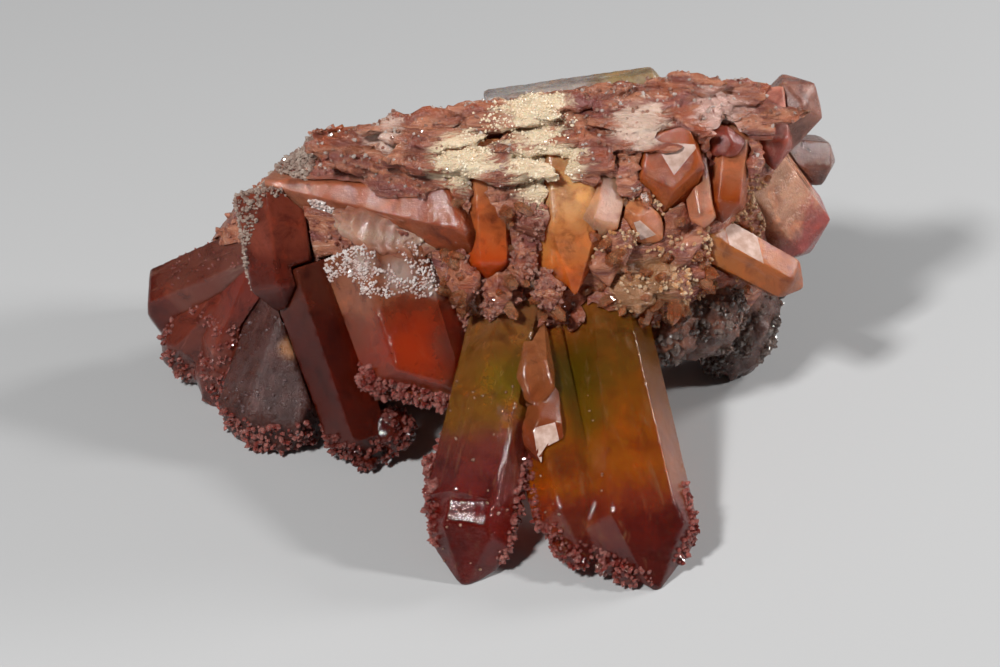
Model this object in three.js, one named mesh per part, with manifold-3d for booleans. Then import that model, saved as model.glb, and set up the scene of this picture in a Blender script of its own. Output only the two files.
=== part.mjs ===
// Hematoid quartz: a cluster of iron-stained quartz crystals on a brown-red matrix.
// Millimetres. X runs to the viewer's right, Y away from the viewer, Z up.
// The cluster lies on the tips of its lower crystals, with the origin under its middle.
import * as THREE from "three";
import { mergeVertices } from "three/addons/utils/BufferGeometryUtils.js";
import Module from "manifold-3d";

const wasm = await Module();
wasm.setup();

// Driving dimensions
const CENTRE = new THREE.Vector3(-0.9, 0.4, 0); // middle of the footprint in the working frame
const GAP = 0.3; // open joint between a crystal and its neighbours
const END_SLOPE = 38.2; // degrees between a quartz end face and the crystal's axis
const PRISM_LEAN = -1.5; // degrees that a prism face draws in towards the tip
const HEX = 2 / Math.sqrt(3); // corner distance of a hexagon over its face distance
const VIEWER = new THREE.Vector3(0, -0.82, 0.57); // from the cluster towards the viewer
const BEHIND = new THREE.Vector3(0, 0.9, 0.44); // out of the back of the cluster

// A repeatable stream of numbers from 0 to 1.
function stream(seed) {
  let state = seed * 7919 + 13;
  return () => {
    state = (state * 1664525 + 1013904223) % 4294967296;
    return state / 4294967296;
  };
}

// A geometry with positions alone and its shared corners merged.
function bareGeometry(geometry) {
  const bare = geometry.clone();
  bare.deleteAttribute("normal");
  bare.deleteAttribute("uv");
  return mergeVertices(bare, 1e-4);
}

// A closed geometry as a solid that can be cut and joined.
function toSolid(geometry) {
  const bare = bareGeometry(geometry);
  return new wasm.Manifold(
    new wasm.Mesh({
      numProp: 3,
      vertProperties: new Float32Array(bare.attributes.position.array),
      triVerts: new Uint32Array(bare.index.array),
    }),
  );
}

function toGeometry(solid) {
  const made = solid.getMesh();
  const geometry = new THREE.BufferGeometry();
  geometry.setAttribute("position", new THREE.BufferAttribute(made.vertProperties, 3));
  geometry.setIndex(new THREE.BufferAttribute(made.triVerts, 1));
  geometry.computeVertexNormals();
  return geometry;
}

function joined(solids) {
  return solids.reduce((whole, next) => whole.add(next));
}

// The largest of the bodies that a cut leaves.
function largest(solid) {
  return solid.decompose().sort((a, b) => b.volume() - a.volume())[0];
}

// Keeps what lies behind the plane at this distance along the unit normal n.
function cutOff(solid, n, distance) {
  return solid.trimByPlane([-n.x, -n.y, -n.z], -distance);
}

// A quartz crystal: a six-sided prism with six sloping end faces.
//   from, to  the buried end of the axis, and the point where equal end faces would meet
//   width     across the corners, side to side as the viewer sees it
//   depth     between the front and the back face
//   roll      turn about the axis, degrees; at 0 a face looks at the viewer
//   faces     distance of each prism face, as a share of the regular one, front face first
//   lean      how far each prism face opens towards the tip, degrees
//   ends      how far each end face is set back from the tip, mm
//   grow      offset of the whole surface, for the room that a neighbour leaves
function crystal(
  {
    from,
    to,
    width,
    depth,
    roll = 0,
    faces = [],
    lean = [],
    ends = [],
    slope = END_SLOPE,
    front = VIEWER,
  },
  grow = 0,
) {
  const tip = new THREE.Vector3(...to);
  const axis = tip.clone().sub(new THREE.Vector3(...from));
  const length = axis.length();
  axis.normalize();
  const out = front.clone().addScaledVector(axis, -front.dot(axis)).normalize();
  const side = out.clone().cross(axis);
  const halfX = width / 2 / HEX;
  const halfY = depth / 2;
  const mean = (halfX + halfY) / 2;
  const reach = 4 * Math.max(width, depth);
  const blank = new THREE.BoxGeometry(reach, reach, length + reach + grow);
  let solid = toSolid(blank.translate(0, 0, (reach - length - grow) / 2));
  for (let k = 0; k < 6; k++) {
    const turn = THREE.MathUtils.degToRad(roll + 60 * k);
    const flat = new THREE.Vector3(Math.sin(turn) / halfX, Math.cos(turn) / halfY, 0);
    const opening = Math.tan(THREE.MathUtils.degToRad(lean[k] ?? PRISM_LEAN)) / mean;
    const wall = flat.clone().setZ(-opening);
    solid = cutOff(solid, wall.clone().normalize(), (faces[k] ?? 1) / wall.length() + grow);
    const rise = Math.tan(THREE.MathUtils.degToRad(slope)) / mean;
    const end = flat.clone().setZ(rise);
    solid = cutOff(solid, end.clone().normalize(), (-rise * (ends[k] ?? 0)) / end.length() + grow);
  }
  const placed = new THREE.Matrix4().makeBasis(side, out, axis).setPosition(tip);
  return solid.transform(placed.elements);
}

// A rough lump of intergrown small crystals.
function lump({ at, size, rough = 0.12, seed = 1, detail = 1 }, grow = 0) {
  const next = stream(seed);
  const ball = bareGeometry(new THREE.IcosahedronGeometry(1, detail));
  const corner = ball.attributes.position;
  for (let i = 0; i < corner.count; i++) {
    const swell = 1 + rough * (2 * next() - 1);
    corner.setXYZ(
      i,
      at[0] + corner.getX(i) * (size[0] * swell + grow),
      at[1] + corner.getY(i) * (size[1] * swell + grow),
      at[2] + corner.getZ(i) * (size[2] * swell + grow),
    );
  }
  return toSolid(ball);
}

// Druse along an edge of a larger crystal: blocky small crystals, each an octahedron turned its own way.
function druse({ path, size, count, seed }, grow = 0) {
  const next = stream(seed);
  const line = new THREE.CatmullRomCurve3(path.map((p) => new THREE.Vector3(...p)));
  const grains = [];
  for (let i = 0; i < count; i++) {
    const wide = size * (0.6 + 0.7 * next());
    const jitter = () => 0.6 * (next() - 0.5) * size;
    const spot = line.getPoint((i + 0.5) / count).add(new THREE.Vector3(jitter(), jitter(), jitter()));
    const turn = new THREE.Euler(6 * next(), 6 * next(), 6 * next());
    const grain = new THREE.OctahedronGeometry(0.72 * wide + grow).scale(0.8, 1, 0.8);
    const placed = new THREE.Matrix4().makeRotationFromEuler(turn).setPosition(spot);
    grains.push(toSolid(grain.applyMatrix4(placed)));
  }
  return joined(grains);
}

// Cross-sections of the matrix from left to right, each from the lower front edge round over the
// wall, the ridge and the crest to the back and the underside: [y, z].
const SECTIONS = [
  { x: -37, ring: [[12, 4], [12.5, 8], [14.5, 13], [17, 16], [20, 13], [22, 7], [21, 2], [16, 1.5]] },
  { x: -30, ring: [[4, 4], [7, 13], [12, 23], [15, 28], [18.5, 25], [22, 13], [22, 2], [12, 2]] },
  { x: -20, ring: [[2, 6], [5, 17], [9, 33.5], [11, 38], [14.5, 34], [20, 17], [22, 3], [9, 3]] },
  { x: -10, ring: [[0, 9], [2, 19], [5.5, 37], [8.5, 41.5], [13.5, 37], [20, 19], [23, 3], [8, 4]] },
  { x: 0, ring: [[0, 11], [-1.5, 21], [3.2, 37.5], [10, 43], [15.5, 38], [22, 21], [25, 1], [9, 5]] },
  { x: 10, ring: [[0, 11], [-1, 21], [4, 34.5], [12, 43.6], [17.5, 39], [23, 22], [25, 1], [10, 5]] },
  { x: 20, ring: [[5, 12], [0.5, 22], [7, 40], [14, 43.6], [19.5, 39], [24, 22], [24, 3], [12, 5]] },
  { x: 29, ring: [[8, 12], [7, 22], [10, 38.5], [16, 42.2], [21, 38], [25, 24], [23, 8], [14, 8]] },
  { x: 35.5, ring: [[14, 18], [13, 24], [14, 33], [17.5, 38], [21, 35], [24, 26], [22, 17], [17, 16]] },
];
const RING_STEPS = 18;
const LENGTH_STEPS = 18;
const MATRIX_ROUGHNESS = 0.6;
const SECTION_CURVES = SECTIONS.map(
  ({ x, ring }) =>
    new THREE.CatmullRomCurve3(
      ring.map(([y, z]) => new THREE.Vector3(x, y, z)),
      true,
      "centripetal",
    ),
);

// A point on the matrix: u from 0 at the left end to 1 at the right, v once round the section.
function matrixPoint(u, v) {
  const corners = SECTION_CURVES.map((curve) => curve.getPoint(v));
  return new THREE.CatmullRomCurve3(corners, false, "centripetal").getPoint(u);
}

// The direction out of the matrix at such a point.
function matrixNormal(u, v) {
  const step = 0.01;
  const along = matrixPoint(u + step, v).sub(matrixPoint(u - step, v));
  const round = matrixPoint(u, v + step).sub(matrixPoint(u, v - step));
  return along.cross(round).normalize();
}

function matrixBody() {
  const next = stream(5);
  const points = [];
  const faces = [];
  const shake = () => MATRIX_ROUGHNESS * (2 * next() - 1);
  for (let i = 0; i <= LENGTH_STEPS; i++) {
    for (let j = 0; j < RING_STEPS; j++) {
      const p = matrixPoint(i / LENGTH_STEPS, j / RING_STEPS);
      points.push(p.x + shake(), p.y + shake(), p.z + shake());
    }
  }
  const index = (i, j) => i * RING_STEPS + (j % RING_STEPS);
  for (let i = 0; i < LENGTH_STEPS; i++) {
    for (let j = 0; j < RING_STEPS; j++) {
      faces.push(index(i, j), index(i + 1, j), index(i + 1, j + 1));
      faces.push(index(i, j), index(i + 1, j + 1), index(i, j + 1));
    }
  }
  // Each end closes on a point in the middle of its section.
  for (const [i, turned] of [
    [0, false],
    [LENGTH_STEPS, true],
  ]) {
    const middle = new THREE.Vector3();
    for (let j = 0; j < RING_STEPS; j++) {
      middle.add(new THREE.Vector3().fromArray(points, 3 * index(i, j)).divideScalar(RING_STEPS));
    }
    points.push(...middle.toArray());
    const hub = points.length / 3 - 1;
    for (let j = 0; j < RING_STEPS; j++) {
      const pair = turned ? [index(i, j + 1), index(i, j)] : [index(i, j), index(i, j + 1)];
      faces.push(hub, ...pair);
    }
  }
  const geometry = new THREE.BufferGeometry();
  geometry.setAttribute("position", new THREE.Float32BufferAttribute(points, 3));
  geometry.setIndex(faces);
  return toSolid(geometry);
}

// Broken flakes of quartz, lying like shingles along the band between the ridge and the crest.
// Each row: v on the section, how far the flakes stand out, their width up the band and thickness.
const FLAKE_ROWS = [
  { v: 0.265, out: 0.3, width: 3.8, thick: 1.3, count: 6, from: 0.25, to: 0.92 },
  { v: 0.295, out: 0.5, width: 3.6, thick: 1, count: 5, from: 0.24, to: 0.93 },
  { v: 0.326, out: 0.4, width: 3.4, thick: 0.9, count: 4, from: 0.26, to: 0.92 },
  { v: 0.358, out: 0.1, width: 3.4, thick: 1, count: 5, from: 0.32, to: 0.93 },
];

function flakes(grow = 0) {
  const next = stream(17);
  const made = [];
  for (const row of FLAKE_ROWS) {
    for (let i = 0; i < row.count; i++) {
      const u = row.from + ((row.to - row.from) * (i + 0.2 + 0.6 * next())) / row.count;
      const at = matrixPoint(u, row.v + 0.012 * (next() - 0.5));
      const length = 9 + 9 * next();
      const outline = [];
      for (let k = 0; k < 6; k++) {
        const turn = (2 * Math.PI * (k + 0.5 * next())) / 6;
        const far = 0.6 + 0.45 * next();
        const x = Math.cos(turn) * far * (length / 2 + grow);
        outline.push(new THREE.Vector2(x, Math.sin(turn) * far * (row.width / 2 + grow)));
      }
      const thick = row.thick * (0.8 + 0.5 * next()) + 2 * grow;
      const shape = new THREE.Shape(outline);
      const plate = new THREE.ExtrudeGeometry(shape, { depth: thick, bevelEnabled: false });
      const lean = new THREE.Vector3(0.2 * (next() - 0.5), -0.7 + 0.3 * next(), 0.8).normalize();
      const rough = new THREE.Vector3(1, 0.3 * (next() - 0.5), 0.1 * next());
      const along = rough.cross(lean).cross(lean).negate().normalize();
      const across = lean.clone().cross(along);
      const spot = at.clone().addScaledVector(lean, row.out - thick / 2);
      const placed = new THREE.Matrix4().makeBasis(along, across, lean).setPosition(spot);
      made.push(toSolid(plate.applyMatrix4(placed)));
    }
  }
  return joined(made);
}

// Small crystals that grow from the matrix between the large ones: v on the section, and their width.
const SMALL_ROWS = [
  { v: 0.1, width: 2.8, count: 4, from: 0.42, to: 0.74 },
  { v: 0.135, width: 2.8, count: 4, from: 0.42, to: 0.76 },
  { v: 0.51, width: 4.8, count: 4, from: 0.2, to: 0.72 },
  { v: 0.58, width: 6, count: 5, from: 0.1, to: 0.9 },
  { v: 0.65, width: 6, count: 4, from: 0.08, to: 0.9 },
];

// Medium crystals of the front wall that have grown into the matrix.
const WALL_CRYSTALS = [
  { from: [3.6, 5, 31], to: [3.2, -2.8, 25.4], width: 3.8, depth: 3.4, roll: 12 },
  { from: [6, 2, 27], to: [6.4, -4.2, 22.6], width: 3.6, depth: 3.4, roll: 35 },
  { from: [-3, 4, 28], to: [-3.9, -3.8, 23.2], width: 4.4, depth: 4, roll: 8 },
  { from: [0.6, 3, 27], to: [0.2, -4.6, 22.4], width: 3.8, depth: 3.6, roll: 22 },
  { from: [12.5, 6, 33], to: [15.4, -1.6, 27.6], width: 5.2, depth: 4.6, roll: 14 },
  { from: [12, 4, 30], to: [13.6, -2, 24.8], width: 4.6, depth: 4.2, roll: 40 },
  { from: [14.4, 9, 36], to: [15.6, 2.2, 33.2], width: 5, depth: 4.6, roll: 20, slope: 50 },
  { from: [25, 7, 29], to: [21, 0.8, 25.2], width: 3.6, depth: 3.4, roll: 16 },
  { from: [11, 10, 39.5], to: [11.4, 2.4, 36.2], width: 6.4, depth: 4.6, roll: 10, slope: 55 },
  { from: [29.6, 12, 37], to: [30.8, 7.6, 33.8], width: 4.2, depth: 4, roll: 30 },
  { from: [3.4, 8, 38], to: [5.6, 0.2, 30], width: 6.6, depth: 4, roll: 6, slope: 50 },
  { from: [-4, 9, 38], to: [-4.6, 2.6, 33.6], width: 5, depth: 4, roll: 18, slope: 50 },
];
const WALL_LUMPS = [
  { at: [16.2, 0.6, 22.6], size: [3.6, 3, 3], seed: 71, rough: 0.2 },
  { at: [20, 2, 23.4], size: [3.4, 3, 3.2], seed: 72, rough: 0.2 },
  { at: [23.4, 4.6, 23.8], size: [3, 3, 3], seed: 73, rough: 0.2 },
];

function smallCrystals() {
  const next = stream(41);
  const made = [...WALL_CRYSTALS.map((one) => crystal(one)), ...WALL_LUMPS.map((one) => lump(one))];
  for (const row of SMALL_ROWS) {
    for (let i = 0; i < row.count; i++) {
      const u = row.from + ((row.to - row.from) * (i + next())) / row.count;
      const v = row.v + 0.025 * (next() - 0.5);
      const at = matrixPoint(u, v);
      const tilt = new THREE.Vector3(next() - 0.5, next() - 0.5, next() - 0.9);
      const heading = matrixNormal(u, v).addScaledVector(tilt, 1.4).normalize();
      const width = row.width * (0.7 + 0.6 * next());
      made.push(
        crystal({
          from: at.clone().addScaledVector(heading, -0.8 * width).toArray(),
          to: at.clone().addScaledVector(heading, width * (0.6 + 0.5 * next())).toArray(),
          width,
          depth: 0.85 * width,
          roll: 60 * next(),
          ends: [0.3 * next(), 0.6 * next(), 0, 0.5 * next(), 0, 0],
        }),
      );
    }
  }
  return joined(made);
}

// The crystals and groups, in the order in which they keep their full shape: a later one is cut
// back to leave the joint round an earlier one, and the matrix is cut last.
const PIECES = [
  // the largest prism, with a parallel one grown on its left and druse under its end
  {
    name: "front_right_crystal",
    colour: 0x8a5a1e,
    roughness: 0.3,
    crystals: [
      {
        from: [10.2, 4.4, 19.4],
        to: [17.5, -28.9, 1],
        width: 15.8,
        depth: 9.5,
        roll: 12,
        faces: [1, 1, 1, 1, 1.05, 1.05],
        lean: [0, 0, 0, 0, 4, 5],
        ends: [0.8, -1.5, -3, -3, 0, 0.9],
      },
      {
        from: [4.6, 0, 14.6],
        to: [10.6, -26.8, 2.2],
        width: 9.4,
        depth: 7.5,
        roll: 12,
        ends: [1, 0, 0, -1, 1, 1],
      },
    ],
    druse: [
      { path: [[6.2, -22.4, 4.6], [9.6, -25.4, 2.4], [16.4, -28, 0.9]], size: 2.1, count: 11, seed: 61 },
      { path: [[22.8, -20.5, 7], [23.2, -22.5, 5], [21.8, -25.5, 2.5]], size: 1.4, count: 6, seed: 62 },
    ],
  },
  // the narrower prism at its left, which goes on as a smooth end out of a ledge of druse
  {
    name: "front_left_crystal",
    colour: 0x70401f,
    roughness: 0.35,
    crystals: [
      {
        from: [3.2, 5, 21.6],
        to: [-3.6, -22.5, 5],
        width: 10.8,
        depth: 8,
        roll: 6,
        lean: [0, 1, 0, 0, 0, 1],
        slope: 62,
      },
      {
        from: [0, -10, 12.5],
        to: [-4.1, -28.1, 0.9],
        width: 9.6,
        depth: 7,
        roll: -10,
        ends: [1.2, 0, -2, -2, -1, 0.5],
      },
    ],
    druse: [
      { path: [[-7, -13, 10.4], [-7.6, -18, 7.6], [-7.5, -22.5, 4.6]], size: 1.8, count: 8, seed: 63 },
      { path: [[2.9, -17.5, 8], [2, -21.5, 5.2], [0, -25.3, 2.4]], size: 1.8, count: 8, seed: 64 },
      { path: [[-8, -19.4, 8], [-3, -20.4, 9], [1, -19.8, 8]], size: 1.2, count: 7, seed: 65 },
    ],
  },
  // two small ones that lie between the two
  {
    name: "gap_crystals",
    colour: 0x8c4a2c,
    roughness: 0.2,
    crystals: [
      {
        from: [4.8, -3, 14.6],
        to: [6, -18.8, 10.9],
        width: 5.4,
        depth: 5,
        roll: 24,
        ends: [1.6, 0, -1, -1, 0, 0.4],
      },
      {
        from: [4.2, -2, 17.4],
        to: [4.8, -13.8, 16],
        width: 4.8,
        depth: 4.8,
        roll: 10,
        ends: [2, 0, 0, 0, 0, 1],
      },
    ],
  },
  // the broad crystal that glows orange-red
  {
    name: "orange_red_crystal",
    colour: 0x9c3a1c,
    roughness: 0.35,
    crystals: [
      {
        from: [-13.8, 7.5, 25],
        to: [-6.4, -6.8, 7.4],
        width: 13.8,
        depth: 9,
        roll: 5,
        ends: [0.5, 0, 0, 0, 4, 3.5],
        slope: 50,
      },
    ],
    druse: [
      { path: [[-15.6, -3.4, 12], [-11, -4.6, 11.4], [-4.6, -6.4, 10.4]], size: 2.1, count: 10, seed: 66 },
    ],
  },
  // the slender dark one beside it, with a knot of druse at its end
  {
    name: "dark_red_crystal",
    colour: 0x5c241a,
    roughness: 0.35,
    crystals: [
      {
        from: [-23.6, 9, 20.6],
        to: [-15.1, -5, -1],
        width: 8.4,
        depth: 7,
        roll: 20,
        ends: [1, 0, 0, -1, 0, 1],
        slope: 45,
      },
    ],
    lumps: [{ at: [-12.6, -3.2, 4.4], size: [2.5, 2.4, 2.8], seed: 11, rough: 0.2 }],
    druse: [
      { path: [[-18, -4.4, 2.8], [-15.4, -5.6, 1.2], [-12.6, -4.6, 2]], size: 1.5, count: 7, seed: 67 },
    ],
  },
  {
    name: "grey_crystal",
    colour: 0x5d4a4e,
    roughness: 0.45,
    crystals: [
      {
        from: [-22.5, 12, 15.5],
        to: [-30.2, -3.2, -1.2],
        width: 13,
        depth: 9.5,
        roll: 8,
        ends: [2, 1.5, 0, 0, 0, 2],
        slope: 55,
      },
    ],
    druse: [{ path: [[-33, 1.4, 2.4], [-29, -1.4, 1.6], [-24, -1.6, 1.8]], size: 1.9, count: 8, seed: 68 }],
  },
  {
    name: "left_tip_crystal",
    colour: 0x7a3026,
    roughness: 0.3,
    crystals: [
      {
        from: [-27, 14.5, 18.5],
        to: [-47, 19.6, 5.8],
        width: 9.4,
        depth: 8.5,
        roll: 24,
        ends: [2, 1, 1, 1, 3, 3],
        slope: 52,
      },
    ],
  },
  // red crystals at the lower left, grown through each other
  {
    name: "left_cluster",
    colour: 0x743228,
    roughness: 0.4,
    crystals: [
      {
        from: [-29, 13, 18],
        to: [-36, 7.5, 3.5],
        width: 6.6,
        depth: 6,
        roll: 12,
        ends: [1, 0, 0, 0, 0, 1],
      },
      {
        from: [-32, 14, 14],
        to: [-42.6, 12.2, 2.6],
        width: 7,
        depth: 6,
        roll: 22,
        ends: [1, 0, 0, 0, 0, 0],
      },
      {
        from: [-30, 12, 12],
        to: [-36.4, 7, -1],
        width: 8,
        depth: 6.5,
        roll: 5,
        ends: [1.6, 0, 0, 0, 0, 0],
      },
      { from: [-30, 15, 15], to: [-40, 13.4, -1], width: 7, depth: 6, roll: 40 },
    ],
    druse: [{ path: [[-41.6, 12.4, 4], [-39.4, 11, 1.8], [-35, 7, 1.2]], size: 1.8, count: 8, seed: 69 }],
  },
  // the broken one that lies along the upper left edge, with a hollow shell-like break
  {
    name: "reclining_crystal",
    colour: 0x86402f,
    roughness: 0.3,
    crystals: [
      {
        from: [-26.8, 13, 26],
        to: [0, 3.2, 31.4],
        width: 10.8,
        depth: 8.4,
        roll: 4,
        lean: [-1.5, -1.5, -1.5, -1.5, 8, 8],
        ends: [0, 2, 2, 0, 0, 0],
        slope: 60,
      },
    ],
    hollow: { at: [-11.6, -3.2, 31], size: [6.6, 4, 3.4], rough: 0.02, seed: 3, detail: 2 },
  },
  {
    name: "left_wedge_crystal",
    colour: 0x5a1f18,
    roughness: 0.3,
    crystals: [
      { from: [-27.6, 13, 29], to: [-25.4, 4.2, 15.6], width: 8.6, depth: 7.4, roll: 26, slope: 42 },
    ],
  },
  // the crystals in the middle of the wall
  {
    name: "centre_crystal",
    colour: 0xa0431f,
    roughness: 0.25,
    crystals: [
      { from: [-1.4, 9, 38.6], to: [-0.5, -0.8, 24.6], width: 6.2, depth: 5.4, roll: 8, slope: 50 },
    ],
  },
  {
    name: "triangle_crystal",
    colour: 0xb0561c,
    roughness: 0.2,
    crystals: [
      {
        from: [8.6, 9, 37],
        to: [9.5, -2.6, 23.8],
        width: 9.6,
        depth: 7,
        roll: 4,
        ends: [0.4, 0, 0, 0, 0, 0],
        slope: 27,
      },
      { from: [6.4, 7, 34], to: [7.6, -2.2, 22.6], width: 5, depth: 4, roll: 20, slope: 27 },
    ],
  },
  {
    name: "round_clear_crystal",
    colour: 0x9a6048,
    proud: true,
    roughness: 0.2,
    crystals: [{ from: [13.8, 9.5, 37], to: [11.4, 0, 30], width: 6.4, depth: 5.6, roll: 25, slope: 58 }],
  },
  {
    name: "kite_crystal",
    colour: 0x9a4b22,
    proud: true,
    roughness: 0.2,
    crystals: [
      {
        from: [17, 9, 25],
        to: [22.6, 5.6, 42.8],
        width: 8,
        depth: 6.6,
        roll: 6,
        ends: [2.6, 0, 0, 0, 0, 0],
      },
    ],
  },
  {
    name: "square_crystal",
    colour: 0xa0562c,
    roughness: 0.2,
    crystals: [
      {
        from: [11, 7.5, 34.5],
        to: [20.4, 0.6, 29.4],
        width: 4.8,
        depth: 4.4,
        roll: 28,
        ends: [1.5, 0, 0, 0, 0, 1.5],
      },
    ],
  },
  {
    name: "brown_crystal",
    colour: 0x94431c,
    roughness: 0.2,
    crystals: [
      { from: [28.6, 13, 38.4], to: [27.2, 4.2, 29.8], width: 5.2, depth: 4.8, roll: 10, slope: 46 },
    ],
  },
  {
    name: "drop_crystal",
    colour: 0xb08070,
    roughness: 0.2,
    crystals: [
      { from: [23.6, 10, 37], to: [25, 2.2, 30.4], width: 3.4, depth: 3.2, roll: 15, slope: 50 },
    ],
  },
  {
    name: "dark_round_crystal",
    colour: 0x4c2218,
    proud: true,
    roughness: 0.4,
    lumps: [{ at: [27.6, 10, 37.6], size: [2.6, 2.6, 2.4], seed: 21, rough: 0.1 }],
  },
  // the crystals of the right end
  {
    name: "amber_crystal",
    colour: 0xb4661c,
    roughness: 0.15,
    crystals: [
      {
        from: [21.5, 8.5, 28],
        to: [37.8, 5.2, 19.8],
        width: 5.8,
        depth: 5.6,
        roll: 32,
        ends: [0, 0, 0.4, 0, 0, 0],
        slope: 48,
      },
    ],
  },
  {
    name: "striated_crystal",
    colour: 0x9c6b50,
    proud: true,
    roughness: 0.4,
    crystals: [
      { from: [27, 15, 35.4], to: [39.6, 16, 17.8], width: 11.4, depth: 9, roll: 16, slope: 50 },
    ],
  },
  {
    name: "upper_pink_crystal",
    colour: 0xb88a80,
    proud: true,
    roughness: 0.3,
    crystals: [{ from: [30, 17, 31], to: [39, 19, 40.8], width: 7.6, depth: 7.2, roll: 18, slope: 58 }],
  },
  {
    name: "right_clear_crystal",
    colour: 0x9d8478,
    roughness: 0.3,
    crystals: [
      { from: [29, 19.5, 30], to: [42.8, 22.8, 27.2], width: 6.4, depth: 6.2, roll: 10, slope: 55 },
    ],
  },
  {
    name: "dark_triangle_crystal",
    colour: 0x5d1f1c,
    roughness: 0.25,
    crystals: [{ from: [33, 18, 40], to: [33.8, 10.6, 33.2], width: 5.4, depth: 5, roll: 12 }],
  },
  // the grey lump that carries the right end
  {
    name: "smoky_mass",
    colour: 0x4d403c,
    roughness: 0.5,
    lumps: [
      { at: [24.6, 9.4, 14.4], size: [6.4, 6.8, 7.4], seed: 31, rough: 0.08 },
      { at: [30.2, 16, 9], size: [6, 6, 10], seed: 32, rough: 0.08 },
      { at: [21.4, 5, 14], size: [4, 4.4, 4.6], seed: 33, rough: 0.08 },
    ],
  },
  // the back, which carries on in the same kind of crystals
  {
    name: "white_back_crystal",
    colour: 0xb5a593,
    roughness: 0.4,
    crystals: [
      {
        from: [-1, 14.5, 38.6],
        to: [20.8, 16.4, 41.8],
        width: 5,
        depth: 5,
        roll: 12,
        slope: 60,
        front: BEHIND,
      },
    ],
  },
  {
    name: "back_point_crystal",
    colour: 0x5a2018,
    roughness: 0.3,
    crystals: [
      { from: [-14, 14.6, 29], to: [-21.2, 13.6, 37.6], width: 5, depth: 4.6, roll: 12, front: BEHIND },
    ],
  },
  {
    name: "back_left_crystal",
    colour: 0x7b3a26,
    roughness: 0.35,
    crystals: [
      {
        from: [-17, 12, 24],
        to: [-24, 27.6, 4],
        width: 11,
        depth: 9,
        roll: 10,
        ends: [1, 0, 0, 0, 0, 2],
        front: BEHIND,
      },
    ],
  },
  {
    name: "back_middle_crystal",
    colour: 0x84502a,
    roughness: 0.35,
    crystals: [
      {
        from: [-2, 12, 26],
        to: [-6, 28, 3],
        width: 12,
        depth: 9,
        roll: -14,
        ends: [1, 2, 0, 0, 0, 0],
        front: BEHIND,
      },
    ],
  },
  {
    name: "back_right_crystal",
    colour: 0x8c4424,
    roughness: 0.35,
    crystals: [
      {
        from: [14, 13, 28],
        to: [15, 28, 6],
        width: 11,
        depth: 9,
        roll: 6,
        ends: [1, 0, 0, 0, 0, 1],
        front: BEHIND,
      },
    ],
  },
];

// One piece from its crystals, lumps and druse, offset outwards by grow.
function pieceBody({ crystals = [], lumps = [], druse: edges = [], hollow }, grow = 0) {
  const whole = joined([
    ...crystals.map((one) => crystal(one, grow)),
    ...lumps.map((one) => lump(one, grow)),
    ...edges.map((one) => druse(one, grow)),
  ]);
  return hollow ? whole.subtract(lump(hollow, -grow)) : whole;
}

const cluster = new THREE.Group();
cluster.name = "hematoid_quartz";

// Cuts a solid off at the ground and adds its largest body to the cluster.
function place(solid, { name, colour, roughness }) {
  const grounded = largest(solid.trimByPlane([0, 0, 1], 0));
  const look = { color: colour, roughness, metalness: 0, flatShading: true };
  const material = new THREE.MeshStandardMaterial(look);
  const mesh = new THREE.Mesh(toGeometry(grounded), material);
  mesh.name = name;
  mesh.position.copy(CENTRE).negate();
  cluster.add(mesh);
}

const band = flakes();
const bandRoom = flakes(GAP);
let room = null; // what the pieces so far take up, with the joint round them
let proudRoom = null; // the same of the pieces that stand proud of the band
for (const piece of PIECES) {
  const whole = piece.proud ? pieceBody(piece) : pieceBody(piece).subtract(bandRoom);
  place(room ? whole.subtract(room) : whole, piece);
  const grown = pieceBody(piece, GAP);
  room = room ? room.add(grown) : grown;
  if (piece.proud) proudRoom = proudRoom ? proudRoom.add(grown) : grown;
}
const body = matrixBody().add(smallCrystals()).subtract(room).add(band.subtract(proudRoom));
place(body, { name: "matrix", colour: 0x6e3c2c, roughness: 0.6 });

export default cluster;
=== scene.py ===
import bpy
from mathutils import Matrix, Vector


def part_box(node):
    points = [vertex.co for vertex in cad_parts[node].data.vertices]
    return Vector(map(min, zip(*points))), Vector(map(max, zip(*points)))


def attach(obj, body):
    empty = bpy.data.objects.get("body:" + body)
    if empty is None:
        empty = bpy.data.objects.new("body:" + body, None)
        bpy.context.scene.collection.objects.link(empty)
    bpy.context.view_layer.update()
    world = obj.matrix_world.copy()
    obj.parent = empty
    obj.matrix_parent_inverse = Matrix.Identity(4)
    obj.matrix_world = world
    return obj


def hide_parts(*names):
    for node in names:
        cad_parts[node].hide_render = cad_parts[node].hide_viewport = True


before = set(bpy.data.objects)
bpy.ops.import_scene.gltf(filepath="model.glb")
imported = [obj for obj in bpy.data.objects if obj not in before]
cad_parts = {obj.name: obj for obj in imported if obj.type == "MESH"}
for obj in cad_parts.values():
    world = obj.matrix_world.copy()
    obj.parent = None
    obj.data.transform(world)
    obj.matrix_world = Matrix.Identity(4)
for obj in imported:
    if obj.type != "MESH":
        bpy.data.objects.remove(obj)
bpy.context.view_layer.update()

import math
import random

import bmesh
import bpy
from mathutils import Matrix, Vector, noise
from mathutils.bvhtree import BVHTree

# Front right crystal: the largest prism of quartz, stained olive at its root, amber in the middle
# and maroon at its end, with a parallel one grown on its left. Both are grown out of the matrix.
# Its faces are etched, its edges are worn, and small second-growth crystals sit round its end.


def point(x, y, z):
    """A place in the millimetres of the cluster's drawing, in metres of the part."""
    return Vector((x + 0.9, y - 0.4, z)) / 1000


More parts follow.
